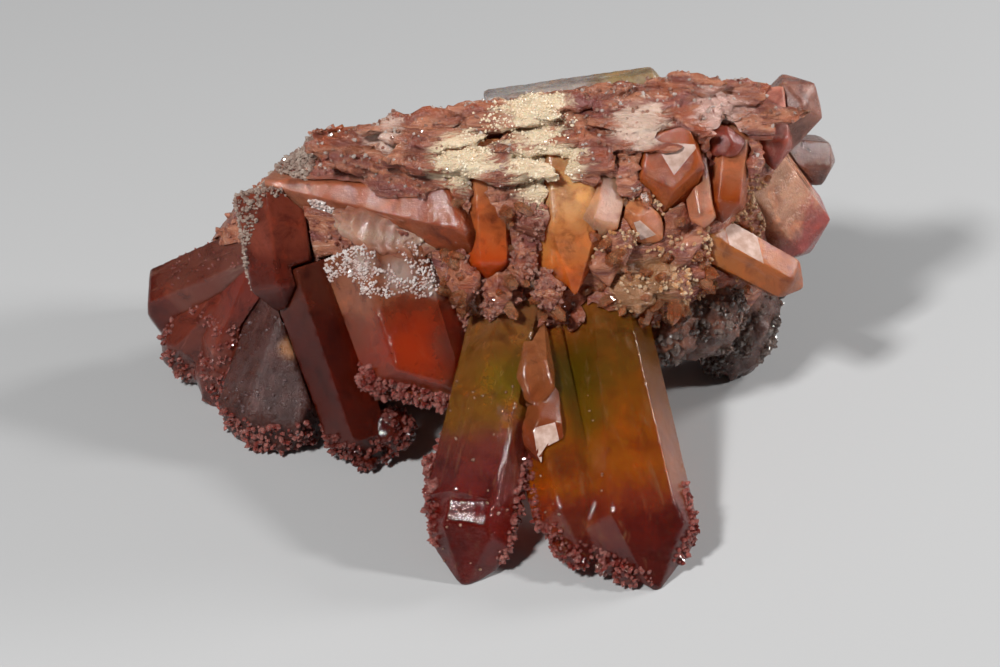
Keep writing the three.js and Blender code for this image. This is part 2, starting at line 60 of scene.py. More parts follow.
def worn_stone(name, node, facet=0.0006, wear=0.5, swell=0.00005, seed=0.0):
    """The crystal of a node with worn edges and slightly uneven faces."""
    stone = bmesh.new()
    stone.from_mesh(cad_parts[node].data)
    worn = stone.verts.layers.float.new("worn")
    bmesh.ops.remove_doubles(stone, verts=stone.verts, dist=2e-6)
    for _ in range(9):
        wide = [e for e in stone.edges if e.calc_length() > facet * 1.5]
        if not wide:
            break
        bmesh.ops.subdivide_edges(stone, edges=wide, cuts=1)
        bmesh.ops.triangulate(stone, faces=[f for f in stone.faces if len(f.verts) > 3])
    corners = [e for e in stone.edges if e.is_manifold and e.calc_face_angle() > 0.3]
    ridge = list({v for e in corners for v in e.verts})
    bmesh.ops.smooth_vert(stone, verts=ridge, factor=wear, use_axis_x=True, use_axis_y=True, use_axis_z=True)
    for v in ridge:
        v[worn] = 1.0
    stone.normal_update()
    for v in stone.verts:
        here = v.co * 1000 + Vector((seed, 0, 0))
        wave = noise.noise(here * 0.22) + 0.5 * noise.noise(here * 0.9)
        v.co += v.normal * swell * wave
    mesh = bpy.data.meshes.new(name)
    stone.to_mesh(mesh)
    stone.free()
    mesh.validate()
    mesh.shade_smooth()
    mesh.set_sharp_from_angle(angle=0.42)
    piece = bpy.data.objects.new(name, mesh)
    bpy.context.scene.collection.objects.link(piece)
    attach(piece, "root")
    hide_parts(node)
    return piece


def add(tree, kind, feeds=None, **settings):
    """One shader node, with its sockets fed by values or by other sockets."""
    made = tree.nodes.new("ShaderNode" + kind)
    for key, value in settings.items():
        setattr(made, key, value)
    for key, value in (feeds or {}).items():
        if isinstance(value, bpy.types.NodeSocket):
            tree.links.new(value, made.inputs[key])
        else:
            made.inputs[key].default_value = value
    return made


def blended(tree, factor, under, over):
    """Colour under, covered by colour over as far as factor says."""
    return add(tree, "Mix", {0: factor, 6: under, 7: over}, data_type="RGBA").outputs[2]


def stepped(tree, value, low, high, full=1.0):
    """Rises smoothly from 0 to full while value goes from low to high."""
    feeds = {"Value": value, "From Min": low, "From Max": high, "To Max": full}
    return add(tree, "MapRange", feeds, interpolation_type="SMOOTHSTEP").outputs[0]


def speckle(tree, place, size, detail=3, rough=0.6, twist=0.0):
    """Cloudy noise whose blotches are about size metres wide."""
    feeds = {"Vector": place, "Scale": 1 / size, "Detail": detail, "Roughness": rough, "Distortion": twist}
    return add(tree, "TexNoise", feeds).outputs[0]


def stained_quartz(
    name, root, tip, stain, blots=(), clear=0.5, gloss=0.06, etch=0.22, veil=0.3, ribs=0.0, wander=0.5,
    veil_tint=(0.5, 0.3, 0.22), glow=0.3, veil_size=0.0022, fleck=0.3, fleck_tint=(0.03, 0.005, 0.003), chips=0.35, murk=None,
    depth=0.75, reflects=0.35,
):
    """Iron-stained quartz: stain lists the colours from root to tip, blots are (centre, radius, colour)."""
    material = bpy.data.materials.new(name)
    material.use_nodes = True
    tree = material.node_tree
    tree.nodes.clear()
    place = add(tree, "TexCoord").outputs["Object"]
    axis = tip - root
    clouds = speckle(tree, place, 0.006, 5, 0.62, 0.6)
    fine = speckle(tree, place, 0.0011, 4, 0.7)
    from_root = add(tree, "VectorMath", {0: place, 1: root}, operation="SUBTRACT").outputs[0]
    run = axis / axis.length_squared
    along = add(tree, "VectorMath", {0: from_root, 1: run}, operation="DOT_PRODUCT").outputs["Value"]
    drift = add(tree, "Math", {0: clouds, 1: wander, 2: along}, operation="MULTIPLY_ADD").outputs[0]
    drift = add(tree, "Math", {0: drift, 1: wander / 2}, operation="SUBTRACT").outputs[0]
    ramp = add(tree, "ValToRGB", {0: drift})
    ramp.color_ramp.interpolation = "EASE"
    for k, (at, tint) in enumerate(stain):
        stop = ramp.color_ramp.elements[0] if k == 0 else ramp.color_ramp.elements.new(at)
        stop.position = at
        stop.color = (*tint, 1)
    ramp.color_ramp.elements.remove(ramp.color_ramp.elements[-1])
    colour = ramp.outputs[0]
    smoke = stepped(tree, speckle(tree, place, 0.003, 6, 0.62, 0.5), 0.44, 0.72, depth)
    colour = add(tree, "Mix", {0: smoke, 6: colour, 7: (0.34, 0.22, 0.2, 1)}, data_type="RGBA", blend_type="MULTIPLY").outputs[2]
    flame = stepped(tree, speckle(tree, place, 0.0042, 5, 0.6, 0.8), 0.52, 0.72, depth)
    colour = add(tree, "Mix", {0: flame, 6: colour, 7: (1.6, 1.25, 1.0, 1)}, data_type="RGBA", blend_type="MULTIPLY").outputs[2]
    for centre, radius, tint in blots:
        far = add(tree, "VectorMath", {0: place, 1: centre}, operation="DISTANCE").outputs["Value"]
        loose = add(tree, "Math", {0: fine, 1: 0.6 * radius, 2: far}, operation="MULTIPLY_ADD").outputs[0]
        ragged = add(tree, "Math", {0: clouds, 1: 1.2 * radius, 2: loose}, operation="MULTIPLY_ADD").outputs[0]
        cover = stepped(tree, ragged, 2.3 * radius, 1.2 * radius, 0.92)
        colour = blended(tree, cover, colour, (*tint, 1))
    lengthwise = add(tree, "Math", {0: along, 1: 0.82}, operation="MULTIPLY").outputs[0]
    slid = add(tree, "VectorMath", {0: axis, "Scale": lengthwise}, operation="SCALE").outputs[0]
    drawn = add(tree, "VectorMath", {0: place, 1: slid}, operation="SUBTRACT").outputs[0]
    specks = stepped(tree, speckle(tree, place, 0.0016, 4, 0.62, 0.4), 0.6, 0.72, fleck)
    colour = blended(tree, specks, colour, (*fleck_tint, 1))
    veils = stepped(tree, speckle(tree, drawn, veil_size, 6, 0.75, 0.4), 0.54, 0.72, veil)
    colour = blended(tree, veils, colour, (*veil_tint, 1))
    edge = add(tree, "Attribute", attribute_name="worn").outputs["Fac"]
    frayed = add(tree, "Math", {0: fine, 1: 1.1, 2: edge}, operation="MULTIPLY_ADD").outputs[0]
    chipped = stepped(tree, frayed, 1.5, 1.75, chips)
    colour = blended(tree, chipped, colour, (*veil_tint, 1))
    shine = add(
        tree,
        "MapRange",
        {"Value": fine, "From Min": 0.4, "From Max": 0.75, "To Min": gloss * 0.6, "To Max": gloss * 2.2},
    )
    pits = speckle(tree, place, 0.00045, 5, 0.75)
    relief = add(tree, "Bump", {"Strength": etch, "Distance": 0.0003, "Height": pits})
    waves = add(tree, "Bump", {"Strength": etch, "Distance": 0.0004, "Height": clouds, "Normal": relief.outputs[0]})
    normal = waves.outputs[0]
    if ribs:
        lines = add(tree, "Math", {0: along, 1: axis.length / 0.0007}, operation="MULTIPLY").outputs[0]
        stack = add(tree, "Math", {0: fine, 1: 3.0, 2: lines}, operation="MULTIPLY_ADD").outputs[0]
        wave = add(tree, "Math", {0: stack}, operation="SINE").outputs[0]
        normal = add(tree, "Bump", {"Strength": ribs, "Distance": 0.00012, "Height": wave, "Normal": normal}).outputs[0]
    shader = add(
        tree,
        "BsdfPrincipled",
        {
            "Base Color": colour,
            "Roughness": shine.outputs[0],
            "IOR": 1.544,
            "Specular IOR Level": reflects,
            "Transmission Weight": clear,
            "Subsurface Weight": glow,
            "Subsurface Radius": (1.0, 0.32, 0.12),
            "Subsurface Scale": 0.003,
            "Normal": normal,
        },
    )
    out = add(tree, "OutputMaterial", {"Surface": shader.outputs[0]})
    if murk:
        inside = add(tree, "VolumeAbsorption", {"Color": (*murk, 1), "Density": 130.0})
        tree.links.new(inside.outputs[0], out.inputs["Volume"])
    return material


front_right = worn_stone("front_right", "front_right_crystal", facet=0.00055, seed=3)
front_right.data.materials.clear()
front_right.data.materials.append(
    stained_quartz(
        "amber_maroon_quartz",
        point(10.2, 0, 20),
        point(18, -28, 0),
        [
            (0.0, (0.429, 0.134, 0.0195)),
            (0.14, (0.24, 0.0901, 0.006)),
            (0.34, (0.34, 0.106, 0.004)),
            (0.56, (0.44, 0.106, 0.004)),
            (0.7, (0.28, 0.0424, 0.014)),
            (0.84, (0.17, 0.0148, 0.008)),
            (0.96, (0.13, 0.0127, 0.008)),
        ],
        blots=[
            (point(10, -8, 15.2), 0.0046, (0.16, 0.1, 0.004)),
            (point(11.5, -12, 12.6), 0.0034, (0.24, 0.13, 0.005)),
            (point(13.5, -16, 10), 0.0032, (0.4, 0.15, 0.008)),
            (point(19.5, -18, 8.6), 0.0038, (0.46, 0.12, 0.008)),
            (point(8, -17, 8.5), 0.0028, (0.15, 0.02, 0.01)),
        ],
        clear=0.7,
        veil=0.45,
        veil_size=0.0012,
        veil_tint=(0.55, 0.3, 0.14),
        ribs=0.12,
        murk=(0.96, 0.55, 0.15),
        depth=0.55,
    )
)

solids = bmesh.new()
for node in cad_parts.values():
    solids.from_mesh(node.data)
all_round = BVHTree.FromBMesh(solids)
solids.free()


def open_spots(piece, count, seed, near=None, path=(), reach=0.0, clear_of=0.0015):
    """Places on a piece's open surface as (place, normal); near or a path with its reach narrows them."""
    draw = random.Random(seed)
    faces = [f for f in piece.data.polygons if (not near or near(f.center, f.normal))]
    if path:
        line = [a.lerp(b, k / 12) for a, b in zip(path, path[1:]) for k in range(13)]
        faces = [f for f in faces if min((f.center - q).length for q in line) < reach]
    spots = []
    if not faces:
        return spots
    for face in draw.choices(faces, weights=[f.area for f in faces], k=count):
        corners = [piece.data.vertices[k].co for k in face.vertices]
        a, b = sorted((draw.random(), draw.random()))
        spot = corners[0] * a + corners[1] * (b - a) + corners[2] * (1 - b)
        hit = all_round.ray_cast(spot + 0.0007 * face.normal, face.normal, clear_of)
        if hit[0] is None and spot.z > 0.0007:
            spots.append((spot, face.normal.copy()))
    return spots


def second_growth(name, spots, size, look, seed, tilt=0.55, tall=1.0, sunk=0.35):
    """Small six-sided quartz crystals grown on those places, each leaning its own way."""
    draw = random.Random(seed)
    mesh = bpy.data.meshes.new(name)
    whole = bmesh.new()
    for first in range(0, len(spots), 40):
        batch = bmesh.new()
        for spot, normal in spots[first : first + 40]:
            lean = Vector((draw.uniform(-1, 1), draw.uniform(-1, 1), draw.uniform(-1, 1)))
            heading = (normal + tilt * lean).normalized()
            radius = size * draw.uniform(0.45, 1.15) / 2
            height = radius * tall * draw.uniform(0.6, 1.8)
            turn = heading.to_track_quat("Z", "Y").to_matrix().to_4x4() @ Matrix.Rotation(draw.uniform(0, 1), 4, "Z")
            squash = Matrix.Diagonal((1, draw.uniform(0.7, 1), 1, 1))
            place = Matrix.Translation(spot - sunk * radius * heading) @ turn @ squash
            for low, high, at, tall_part in (
                (0.0, radius, -0.4 * radius, 0.8 * radius),
                (radius, radius * 0.97, height / 2, height),
                (radius * 0.97, radius * draw.choice((0.0, 0.0, 0.3)), height + 0.5 * radius, radius),
            ):
                bmesh.ops.create_cone(
                    batch,
                    cap_ends=False,
                    segments=6,
                    radius1=low,
                    radius2=high,
                    depth=tall_part,
                    matrix=place @ Matrix.Translation((0, 0, at)),
                )
        bmesh.ops.remove_doubles(batch, verts=batch.verts, dist=1e-7)
        bmesh.ops.holes_fill(batch, edges=batch.edges, sides=6)
        part = bpy.data.meshes.new("batch")
        batch.to_mesh(part)
        batch.free()
        whole.from_mesh(part)
        bpy.data.meshes.remove(part)
    bmesh.ops.recalc_face_normals(whole, faces=whole.faces)
    whole.to_mesh(mesh)
    whole.free()
    mesh.materials.append(look)
    piece = bpy.data.objects.new(name, mesh)
    bpy.context.scene.collection.objects.link(piece)
    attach(piece, "root")
    return piece


def tiny_quartz(name, light, dark, clear=0.6, gloss=0.06):
    """Glassy quartz of small crystals, which differ in colour from place to place."""
    material = bpy.data.materials.new(name)
    material.use_nodes = True
    tree = material.node_tree
    tree.nodes.clear()
    place = add(tree, "TexCoord").outputs["Object"]
    mixed = stepped(tree, speckle(tree, place, 0.0012, 3), 0.3, 0.72)
    colour = blended(tree, mixed, (*dark, 1), (*light, 1))
    dusty = speckle(tree, place, 0.0004, 3)
    rough = add(tree, "MapRange", {"Value": dusty, "To Min": gloss * 0.5, "To Max": gloss * 2.5}).outputs[0]
    shader = add(
        tree,
        "BsdfPrincipled",
        {"Base Color": colour, "Roughness": rough, "IOR": 1.544, "Transmission Weight": clear},
    )
    add(tree, "OutputMaterial", {"Surface": shader.outputs[0]})
    return material


maroon_grains = tiny_quartz("maroon_grains", (0.86, 0.4, 0.34), (0.4, 0.05, 0.035), clear=0.75, gloss=0.03)
right_edges = [
    ([point(6.2, -22.4, 4.6), point(9.6, -25.4, 2.4), point(16.4, -28, 0.9)], 0.002, 330, 0.0006),
    ([point(22.8, -19, 8), point(23.2, -22.5, 5), point(21.8, -25.5, 2.5)], 0.0012, 120, 0.00055),
    ([point(3.6, -14, 9.5), point(5, -19, 6.5), point(6.2, -22.4, 4.6)], 0.0012, 110, 0.00055),
]
for k, (path, reach, count, size) in enumerate(right_edges):
    spots = open_spots(front_right, count, 100 + k, path=path, reach=reach, clear_of=0.0006)
    second_growth(f"front_right_growth_{k}", spots, size, maroon_grains, 110 + k)
sparks = open_spots(front_right, 40, 104, near=lambda at, out: out.x < -0.2 and at.z < 0.016)
pale_grains = tiny_quartz("pale_grains", (0.6, 0.42, 0.33), (0.3, 0.16, 0.1), clear=0.5)
second_growth("front_right_sparks", sparks, 0.00038, pale_grains, 114, sunk=0.6)

# Front left crystal: a narrower prism, olive at its root and purple-maroon lower down, that goes on
# as a smooth dark red end out of a ledge of second-growth crystals. Grown out of the matrix.
front_left = worn_stone("front_left", "front_left_crystal", facet=0.00055, seed=9)
front_left.data.materials.clear()
front_left.data.materials.append(
    stained_quartz(
        "olive_purple_quartz",
        point(2, -2, 20),
        point(-4, -28, 0.5),
        [
            (0.0, (0.416, 0.17, 0.0636)),
            (0.16, (0.354, 0.138, 0.0212)),
            (0.36, (0.312, 0.127, 0.0148)),
            (0.5, (0.229, 0.0477, 0.0297)),
            (0.64, (0.208, 0.0339, 0.0297)),
            (0.78, (0.187, 0.00954, 0.0053)),
        ],
        blots=[
            (point(1.4, -9, 16), 0.0036, (0.26, 0.16, 0.006)),
            (point(-1.6, -16, 11), 0.003, (0.2, 0.04, 0.035)),
            (point(-3.6, -22, 6.5), 0.0036, (0.22, 0.012, 0.006)),
        ],
        clear=0.65,
        murk=(0.95, 0.5, 0.25),
        veil=0.5,
        veil_size=0.0012,
        veil_tint=(0.5, 0.22, 0.12),
    )
)
left_edges = [
    ([point(-7, -11, 11.4), point(-7.6, -18, 7.6), point(-7.8, -23, 4.4), point(-7.6, -25.5, 2.4)], 0.0011, 240, 0.00065),
    ([point(3, -16, 9), point(2, -21.5, 5.2), point(0.6, -25, 2.6)], 0.0011, 220, 0.00065),
    ([point(-8, -19.4, 8), point(-3, -20.4, 9), point(1, -19.8, 8)], 0.0009, 150, 0.0005),
]
for k, (path, reach, count, size) in enumerate(left_edges):
    spots = open_spots(front_left, count, 120 + k, path=path, reach=reach, clear_of=0.0006)
    second_growth(f"front_left_growth_{k}", spots, size, maroon_grains, 130 + k)
sparks = open_spots(front_left, 30, 124, near=lambda at, out: out.z > 0 and at.z < 0.017)
second_growth("front_left_sparks", sparks, 0.00038, pale_grains, 134, sunk=0.6)

# Gap crystals: two small reddish brown ones with bright end faces, wedged between the front two.
# The bright faces are finely frosted, and their pale colour is a painted highlight of the light they catch.


def frost_and_paint_highlight(piece, at, look, edges):
    """Frosts a flat face round a place, inside straight edges given as (degrees round the face, distance); its pale
    look is a painted highlight.
    """
    cut = bmesh.new()
    cut.from_mesh(piece.data)
    out = min(cut.faces, key=lambda f: (f.calc_center_median() - at).length).normal.copy()
    across = out.cross(Vector((0, 0, 1))).normalized()
    sides = [(Matrix.Rotation(math.radians(degrees), 3, out) @ across, far) for degrees, far in edges]
    for side, far in sides:
        whole = cut.verts[:] + cut.edges[:] + cut.faces[:]
        bmesh.ops.bisect_plane(cut, geom=whole, dist=1e-6, plane_co=at + far * side, plane_no=side)
    bmesh.ops.triangulate(cut, faces=[f for f in cut.faces if len(f.verts) > 3])
    cut.normal_update()
    piece.data.materials.append(look)
    for face in cut.faces:
        from_place = face.calc_center_median() - at
        if face.normal.dot(out) > 0.975 and all(from_place.dot(side) < far for side, far in sides):
            face.material_index = len(piece.data.materials) - 1
    cut.to_mesh(piece.data)
    cut.free()
    piece.data.validate()


gap = worn_stone("gap", "gap_crystals", facet=0.0005, swell=0.00002, seed=14)
gap.data.materials.clear()
gap.data.materials.append(
    stained_quartz(
        "bright_brown_quartz",
        point(4.6, -4, 17),
        point(5.8, -18, 10),
        [(0.0, (0.392, 0.139, 0.0526)), (0.5, (0.294, 0.0796, 0.0226)), (0.9, (0.245, 0.0448, 0.0151))],
        gloss=0.07,
        etch=0.2,
        veil=0.45,
        depth=0.5,
    )
)
# Pale frosted colour that is also a painted highlight: bright flat faces get it in place of the light they reflect,
# first the gap crystals' end face.
frost_and_painted_highlight = tiny_quartz("frosted_face_painted_highlight", (0.74, 0.54, 0.46), (0.5, 0.32, 0.25), clear=0.25, gloss=0.1)
frost_and_paint_highlight(gap, point(5.3, -16.7, 12.3), frost_and_painted_highlight, [(0, 0.0024), (90, 0.0022), (180, 0.0024), (270, 0.0022)])

# Orange-red crystal: a broad translucent one that glows in the middle, with a sparkling white crust
# on its upper face and second growth on its lower edge.
orange_red = worn_stone("orange_red", "orange_red_crystal", facet=0.0006, seed=21)
orange_red.data.materials.clear()
orange_red.data.materials.append(
    stained_quartz(
        "orange_red_quartz",
        point(-12.5, 0, 24),
        point(-7, -7, 9),
        [
            (0.0, (0.531, 0.179, 0.0864)),
            (0.22, (0.322, 0.0594, 0.0192)),
            (0.5, (0.38, 0.0385, 0.00673)),
            (0.75, (0.285, 0.052, 0.0173)),
            (0.95, (0.304, 0.0891, 0.0384)),
        ],
        blots=[
            (point(-16.3, 1.5, 25.7), 0.0018, (0.862, 0.612, 0.512)),
            (point(-11.5, 0.9, 24.7), 0.0022, (0.862, 0.612, 0.512)),
            (point(-7.5, 0.8, 23), 0.0016, (0.862, 0.612, 0.512)),
            (point(-6.8, -6.5, 11.4), 0.0014, (0.575, 0.216, 0.08)),
            (point(-10, -4, 17.5), 0.0052, (0.55, 0.05, 0.006)),
            (point(-5.4, -3.4, 17.5), 0.003, (0.2, 0.05, 0.03)),
        ],
        veil=0.3,
        veil_tint=(0.517, 0.139, 0.064),
        clear=0.65,
        murk=(0.98, 0.35, 0.1),
        depth=0.9,
    )
)
lower_edge = [point(-16.6, -3, 12.6), point(-11, -4.8, 11.4), point(-5, -6.6, 10.2), point(-3.4, -5.4, 11.4)]
spots = open_spots(orange_red, 520, 140, path=lower_edge, reach=0.0017, clear_of=0.0006)
second_growth("orange_red_growth", spots, 0.00075, maroon_grains, 141)
crusted = open_spots(
    orange_red,
    2200,
    142,
    near=lambda at, out: at.z + 0.0025 * noise.noise(at * 300) > 0.0225 and noise.noise(at * 500) > -0.25,
    clear_of=0.0005,
)
white_grains = tiny_quartz("white_grains", (0.92, 0.86, 0.83), (0.66, 0.46, 0.4), clear=0.35, gloss=0.05)
second_growth("orange_red_crust", crusted, 0.00036, white_grains, 143, sunk=0.5)

# Dark red crystal: a slender smoky red leg with a knot of second growth beside its end.
dark_red = worn_stone("dark_red", "dark_red_crystal", facet=0.0006, seed=31)
dark_red.data.materials.clear()
dark_red.data.materials.append(
    stained_quartz(
        "dark_red_quartz",
        point(-22, 3, 21),
        point(-15, -5, 0),
        [(0.0, (0.128, 0.024, 0.0112)), (0.3, (0.09, 0.008, 0.003)), (0.85, (0.0975, 0.0096, 0.00375))],
        veil=0.15,
        veil_tint=(0.16, 0.028, 0.015),
        clear=0.5,
        reflects=0.25,
    )
)
dark_grains = tiny_quartz("dark_grains", (0.62, 0.22, 0.18), (0.2, 0.025, 0.018), clear=0.75, gloss=0.03)
spots = open_spots(dark_red, 520, 150, near=lambda at, out: at.z < 0.0045 or at.x > point(-12.6, 0, 0).x - 0.001)
second_growth("dark_red_growth", spots, 0.0007, dark_grains, 151)

# Grey crystal: a mauve-grey block, frosted, with brown-red second growth on its lower end.
grey = worn_stone("grey", "grey_crystal", facet=0.0007, swell=0.00018, seed=37)
grey.data.materials.clear()
grey.data.materials.append(
    stained_quartz(
        "mauve_quartz",
        point(-25, 5, 14),
        point(-29, -2, 0),
        [(0.0, (0.0669, 0.0215, 0.0165)), (0.5, (0.062, 0.0215, 0.0173)), (0.8, (0.0566, 0.0126, 0.00777))],
        clear=0.1,
        gloss=0.3,
        etch=0.6,
        veil=0.5,
        veil_tint=(0.228, 0.112, 0.098),
        fleck_tint=(0.0684, 0.0112, 0.00588),
        blots=[(point(-25.3, 2.4, 13), 0.0014, (0.4, 0.18, 0.08))],
    )
)
spots = open_spots(grey, 620, 155, near=lambda at, out: at.z < 0.0052)
second_growth("grey_growth", spots, 0.0007, maroon_grains, 156)
spots = open_spots(grey, 120, 157, near=lambda at, out: at.z > 0.004)
mauve_grains = tiny_quartz("mauve_grains", (0.3, 0.22, 0.22), (0.12, 0.06, 0.06), clear=0.3)
second_growth("grey_frost", spots, 0.0004, mauve_grains, 158, sunk=0.6)

# Left tip crystal and left cluster: dark red prisms grown through each other, whitish on their
# edges, the longest of them pointing out to the left with a frosted pink upper face.
left_tip = worn_stone("left_tip", "left_tip_crystal", facet=0.0007, seed=43)
left_tip.data.materials.clear()
left_tip.data.materials.append(
    stained_quartz(
        "red_tip_quartz",
        point(-30, 14, 17),
        point(-46, 19, 6),
        [(0.0, (0.22, 0.07, 0.05)), (0.45, (0.2, 0.055, 0.035)), (0.7, (0.13, 0.012, 0.004))],
        blots=[(point(-36, 12.5, 15), 0.003, (0.179, 0.0378, 0.022))],
    )
)
cluster = worn_stone("left_cluster_stones", "left_cluster", facet=0.0006, swell=0.0001, seed=47)
cluster.data.materials.clear()
cluster_quartz = stained_quartz(
    "red_brown_quartz",
    point(-30, 12, 16),
    point(-39, 10, 1),
    [(0.0, (0.253, 0.035, 0.0204)), (0.5, (0.238, 0.045, 0.0244)), (0.9, (0.159, 0.028, 0.0163))],
    veil=0.5,
    veil_tint=(0.647, 0.208, 0.143),
    veil_size=0.0016,
)
cluster.data.materials.append(cluster_quartz)
rose_grains = tiny_quartz("rose_grains", (0.88, 0.44, 0.38), (0.45, 0.07, 0.05), clear=0.75, gloss=0.03)
spots = open_spots(cluster, 700, 160, near=lambda at, out: at.z < 0.0125 and noise.noise(at * 260) > -0.1)
second_growth("left_cluster_growth", spots, 0.00055, rose_grains, 161)
spots = open_spots(left_tip, 110, 162, near=lambda at, out: out.z > 0.2 and at.x > -0.04)
second_growth("left_tip_frost", spots, 0.0004, rose_grains, 163, sunk=0.6)

# Left wedge crystal: dark red faces under the upper left edge, with a crumbly crust at its root.
wedge = worn_stone("left_wedge", "left_wedge_crystal", facet=0.0006, seed=53)
wedge.data.materials.clear()
wedge.data.materials.append(
    stained_quartz(
        "wedge_quartz",
        point(-26.5, 6, 26),
        point(-25, 3, 15),
        [(0.0, (0.304, 0.0605, 0.032)), (0.25, (0.151, 0.0181, 0.008)), (0.8, (0.0911, 0.00846, 0.0036))],
        veil=0.4,
        veil_tint=(0.393, 0.078, 0.04),
        reflects=0.25,
    )
)
left_rim = [point(-24, 13, 34), point(-27, 12, 31.5), point(-31, 10, 28), point(-32, 9, 24), point(-31.5, 8, 20)]
spots = open_spots(wedge, 700, 165, path=left_rim, reach=0.0026, clear_of=0.0005)
grey_crust = tiny_quartz("grey_crust", (0.62, 0.5, 0.42), (0.3, 0.17, 0.13), clear=0.4)
second_growth("left_wedge_crust", spots, 0.0005, grey_crust, 166)

# Reclining crystal: a broken pink-brown one that lies along the upper left edge, with a hollow
# shell-like break below it, and a glint on its root painted as a frosted spot of white grains.
reclining = worn_stone("reclining", "reclining_crystal", facet=0.0006, seed=59)
reclining.data.materials.clear()
pink_brown = stained_quartz(
    "pink_brown_quartz",
    point(-28, 9, 30),
    point(-3, 2, 31),
    [(0.0, (0.452, 0.173, 0.101)), (0.3, (0.414, 0.123, 0.0583)), (0.6, (0.376, 0.102, 0.0428)), (0.9, (0.301, 0.0661, 0.0233))],
    veil=0.55,
    veil_size=0.0014,
    veil_tint=(0.6, 0.36, 0.28),
    clear=0.3,
    reflects=0.3,
    ribs=0.4,
)
reclining.data.materials.append(pink_brown)
# White grains on the root: a frosted spot whose whiteness is a painted glint.
frost_and_glint_spots = open_spots(reclining, 900, 167, path=[point(-21.6, 8.8, 29.6), point(-20, 8.2, 28.6)], reach=0.0013, clear_of=0.0005)
second_growth("reclining_frost_and_painted_glint", frost_and_glint_spots[:300], 0.00034, white_grains, 168, sunk=0.5)
shell_mesh = bpy.data.meshes.new("reclining_shell")
shell = bmesh.new()
bmesh.ops.create_icosphere(shell, subdivisions=6, radius=1.0)
for v in shell.verts:
    ring = 26 * math.hypot(v.co.x - 0.95, 0.6 * v.co.y) + 2.5 * noise.noise(v.co * 2.2)
    v.co *= 1 + 0.05 * math.sin(ring) + 0.16 * noise.noise(v.co * 2.6)
    v.co.z -= 0.45 * max(0.0, 1 - (v.co.x - 0.2) ** 2 - 1.6 * v.co.y**2) if v.co.z > 0 else 0
lie = Matrix.Rotation(math.radians(55), 4, "X") @ Matrix.Rotation(math.radians(-17), 4, "Z")
bmesh.ops.transform(
    shell,
    verts=shell.verts,
    matrix=Matrix.Translation(point(-13.4, 4.4, 28.4)) @ lie @ Matrix.Diagonal((0.0064, 0.0027, 0.0016, 1)),
)
shell.to_mesh(shell_mesh)
shell.free()
shell_mesh.shade_smooth()
shell_mesh.materials.append(
    stained_quartz(
        "shell_quartz",
        point(-13, 5, 31.4),
        point(-13.6, 3.4, 26),
        [(0.0, (0.45, 0.15, 0.09)), (0.3, (0.52, 0.26, 0.18)), (0.55, (0.62, 0.4, 0.3)), (0.9, (0.45, 0.17, 0.1))],
        clear=0.5,
        gloss=0.05,
        veil=0.3,
        veil_tint=(0.9, 0.76, 0.66),
        depth=0.3,
        ribs=0.9,
    )
)
shell_piece = bpy.data.objects.new("reclining_shell", shell_mesh)
bpy.context.scene.collection.objects.link(shell_piece)
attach(shell_piece, "root")

# Crystals in the middle of the wall: a rounded orange one and an orange point with nested ridges.
centre = worn_stone("centre", "centre_crystal", facet=0.0005, wear=0.7, seed=61)
centre.data.materials.clear()
centre.data.materials.append(
    stained_quartz(
        "orange_quartz",
        point(-1, 3, 37),
        point(-0.6, -2, 25),
        [(0.0, (0.702, 0.228, 0.0907)), (0.45, (0.585, 0.131, 0.0302)), (0.8, (0.624, 0.0817, 0.00806))],
        veil=0.25,
        glow=0.4,
    )
)
triangle = worn_stone("triangle", "triangle_crystal", facet=0.0005, seed=67)
triangle.data.materials.clear()
yellow_orange = stained_quartz(
    "yellow_orange_quartz",
    point(9, 3, 34),
    point(9.2, -3, 23),
    [(0.0, (0.894, 0.454, 0.195)), (0.4, (0.812, 0.272, 0.0693)), (0.8, (0.683, 0.136, 0.0167))],
    veil=0.35,
    glow=0.4,
    ribs=0.4,
)
triangle.data.materials.append(yellow_orange)

# Small faceted crystals at the upper right: grown out of the wall, each with bright clean faces; the brightest face of
# the kite one and of the square one is a painted highlight. A round clear one, a kite-faced one, a square one, a brown
# one, a drop and a dark round one.
warm = [(0.0, (0.48, 0.156, 0.06)), (0.5, (0.448, 0.0975, 0.02)), (0.9, (0.48, 0.104, 0.02))]
tan_brown = [(0.0, (0.72, 0.29, 0.13)), (0.5, (0.7, 0.24, 0.09)), (0.9, (0.68, 0.22, 0.08))]
clear_tan = [(0.0, (0.544, 0.281, 0.165)), (0.5, (0.756, 0.393, 0.228)), (0.9, (0.68, 0.337, 0.19))]
deep_brown = [(0.0, (0.486, 0.154, 0.0644)), (0.5, (0.357, 0.0647, 0.00901)), (0.9, (0.324, 0.0539, 0.00901))]
pink_clear = [(0.0, (0.529, 0.16, 0.0693)), (0.5, (0.706, 0.272, 0.139)), (0.9, (0.756, 0.385, 0.236))]
dark_brown = [(0.0, (0.231, 0.0403, 0.02)), (0.9, (0.165, 0.0224, 0.0109))]
small_ones = [
    ("round_clear", point(13, 6, 36), point(11.4, 0, 30), clear_tan, 0.5, "amber_quartz", None),
    ("kite", point(18, 8, 28), point(22, 6, 42), warm, 0.45, "amber_quartz", point(21.4, 5.5, 39)),
    ("square", point(14, 5, 33), point(20.4, 0.6, 29.4), tan_brown, 0.45, "amber_quartz", point(18.1, 1.2, 31.2)),
    ("brown", point(28, 8, 36), point(27.2, 4.2, 29.8), deep_brown, 0.45, "amber_quartz", None),
    ("drop", point(24, 6, 36), point(25, 2.2, 30), pink_clear, 0.6, "pale_quartz", None),
    ("dark_round", point(27, 8, 39), point(27, 8, 35), dark_brown, 0.3, "smoky_quartz", None),
]
